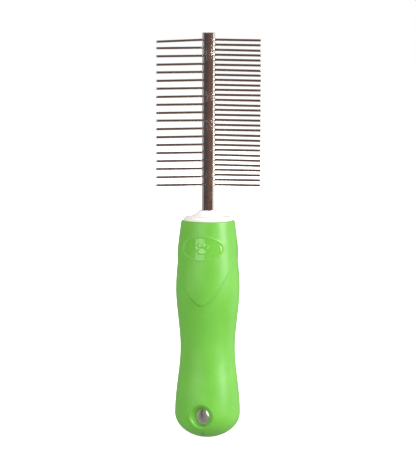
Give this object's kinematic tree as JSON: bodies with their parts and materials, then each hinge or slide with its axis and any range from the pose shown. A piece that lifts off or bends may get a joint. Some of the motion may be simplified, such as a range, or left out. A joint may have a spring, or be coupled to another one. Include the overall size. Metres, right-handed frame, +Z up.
{
  "type": "double-sided grooming comb",
  "caption": "Pet grooming comb: a round plated rod with a coarse row and a fine row of wire pins on opposite sides, a white collar and a soft green contoured grip with a hanging eye.",
  "frame": {"origin": "lowest point of the handle's rounded end, on the axis of the handle and the rod", "axes": "+Z up the rod towards the head, the front of the handle with the badge faces -Y, +X on the fine row's side"},
  "size_m": [0.0514, 0.0332, 0.2035],
  "materials": {
    "rod": "bright plated, faintly mottled",
    "pins": "bright drawn wire",
    "collar": "glossy moulded white",
    "core": "moulded white",
    "grip": "satin soft-touch, finely textured"
  },
  "bodies": {
    "root": {"grip_sleeve": "grip", "handle_core": "core", "collar": "collar", "spine_rod": "rod", "coarse_pin_01": "pins", "coarse_pin_02": "pins", "coarse_pin_03": "pins", "coarse_pin_04": "pins", "coarse_pin_05": "pins", "coarse_pin_06": "pins", "coarse_pin_07": "pins", "coarse_pin_08": "pins", "coarse_pin_09": "pins", "coarse_pin_10": "pins", "coarse_pin_11": "pins", "coarse_pin_12": "pins", "coarse_pin_13": "pins", "coarse_pin_14": "pins", "coarse_pin_15": "pins", "coarse_pin_16": "pins", "coarse_pin_17": "pins", "coarse_pin_18": "pins", "coarse_pin_19": "pins", "fine_pin_01": "pins", "fine_pin_02": "pins", "fine_pin_03": "pins", "fine_pin_04": "pins", "fine_pin_05": "pins", "fine_pin_06": "pins", "fine_pin_07": "pins", "fine_pin_08": "pins", "fine_pin_09": "pins", "fine_pin_10": "pins", "fine_pin_11": "pins", "fine_pin_12": "pins", "fine_pin_13": "pins", "fine_pin_14": "pins", "fine_pin_15": "pins", "fine_pin_16": "pins", "fine_pin_17": "pins", "fine_pin_18": "pins", "fine_pin_19": "pins", "fine_pin_20": "pins", "fine_pin_21": "pins", "fine_pin_22": "pins", "fine_pin_23": "pins", "fine_pin_24": "pins", "fine_pin_25": "pins", "fine_pin_26": "pins", "fine_pin_27": "pins", "fine_pin_28": "pins", "fine_pin_29": "pins", "fine_pin_30": "pins"}
  },
  "joints": []
}
